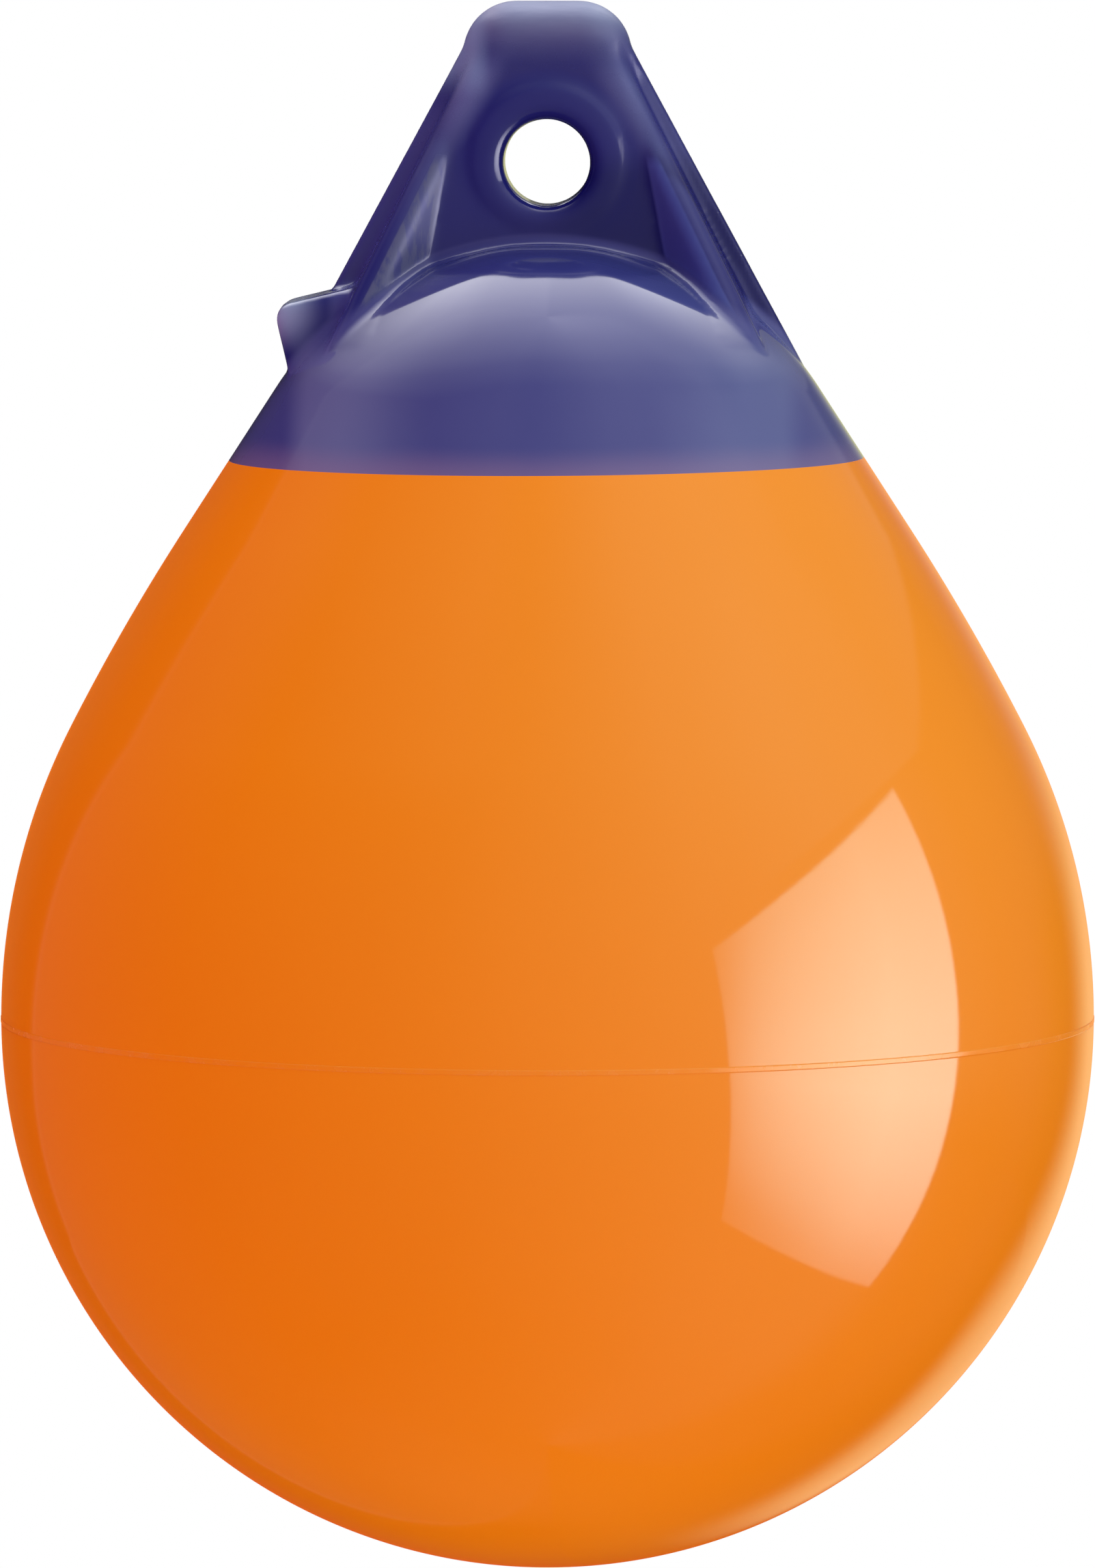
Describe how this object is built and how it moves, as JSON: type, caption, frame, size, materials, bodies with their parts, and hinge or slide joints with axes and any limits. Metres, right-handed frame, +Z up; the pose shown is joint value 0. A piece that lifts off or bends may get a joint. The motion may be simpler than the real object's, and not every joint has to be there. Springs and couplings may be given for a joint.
{
  "type": "inflatable buoy",
  "caption": "Inflatable drop-shaped marker buoy with a moulded rope head, a round rope eye, bracing ridges and a side inflation valve.",
  "frame": {"origin": "middle of the rope eye, half way through the rope head", "axes": "+Z up from the round belly to the rope head, +Y along the rope eye, the valve boss on the -X side"},
  "size_m": [0.2038, 0.2038, 0.2912],
  "materials": {
    "orange_vinyl": "very glossy flexible vinyl",
    "blue_vinyl": "glossy flexible vinyl, faintly scuffed",
    "valve_vinyl": "soft matte",
    "screw_plastic": "satin"
  },
  "bodies": {
    "shell": {"hull": "orange_vinyl", "rope_hold": "blue_vinyl", "valve_body": "valve_vinyl"},
    "screw": {"valve_screw": "screw_plastic"}
  },
  "joints": [
    {"name": "valve_screw_out", "type": "slide", "parent": "shell", "child": "screw", "axis": [-0.9736, 0, -0.2284], "range_m": [0, 0.012]}
  ]
}
